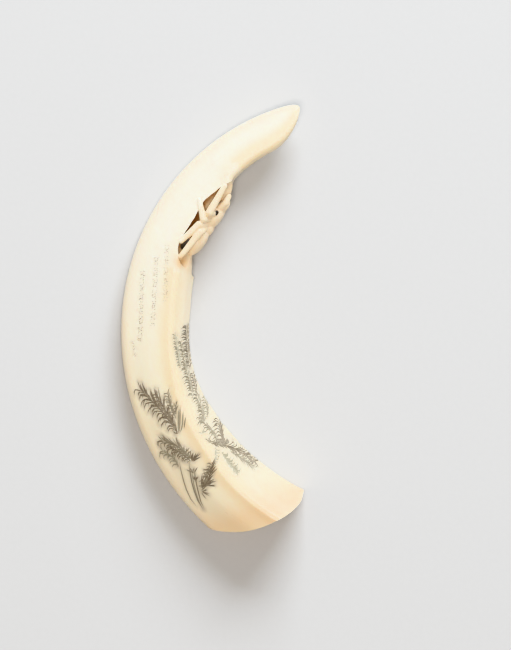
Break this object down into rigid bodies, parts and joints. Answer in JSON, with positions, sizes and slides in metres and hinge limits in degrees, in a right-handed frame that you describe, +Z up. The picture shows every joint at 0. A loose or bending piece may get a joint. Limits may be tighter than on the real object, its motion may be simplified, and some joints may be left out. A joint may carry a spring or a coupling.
{
  "type": "carved tusk netsuke",
  "caption": "Crescent netsuke carved from one boar's tusk, with a spider in a pierced hollow on the inner curve and a tapering pulp cavity in the sawn root.",
  "frame": {"origin": "middle of the box's underside, on the surface that the netsuke lies on", "axes": "+Y from the root end towards the tip, +X out of the inner curve, +Z up from the face it lies on"},
  "size_m": [0.0558, 0.1302, 0.0157],
  "materials": {
    "tusk": "polished cream tusk, warmer along the ridge and at the root, brown in the carved hollow",
    "horn": "polished dark horn"
  },
  "bodies": {
    "root": {"carved_tusk": "tusk", "upper_eye": "horn", "lower_eye": "horn"}
  },
  "joints": []
}
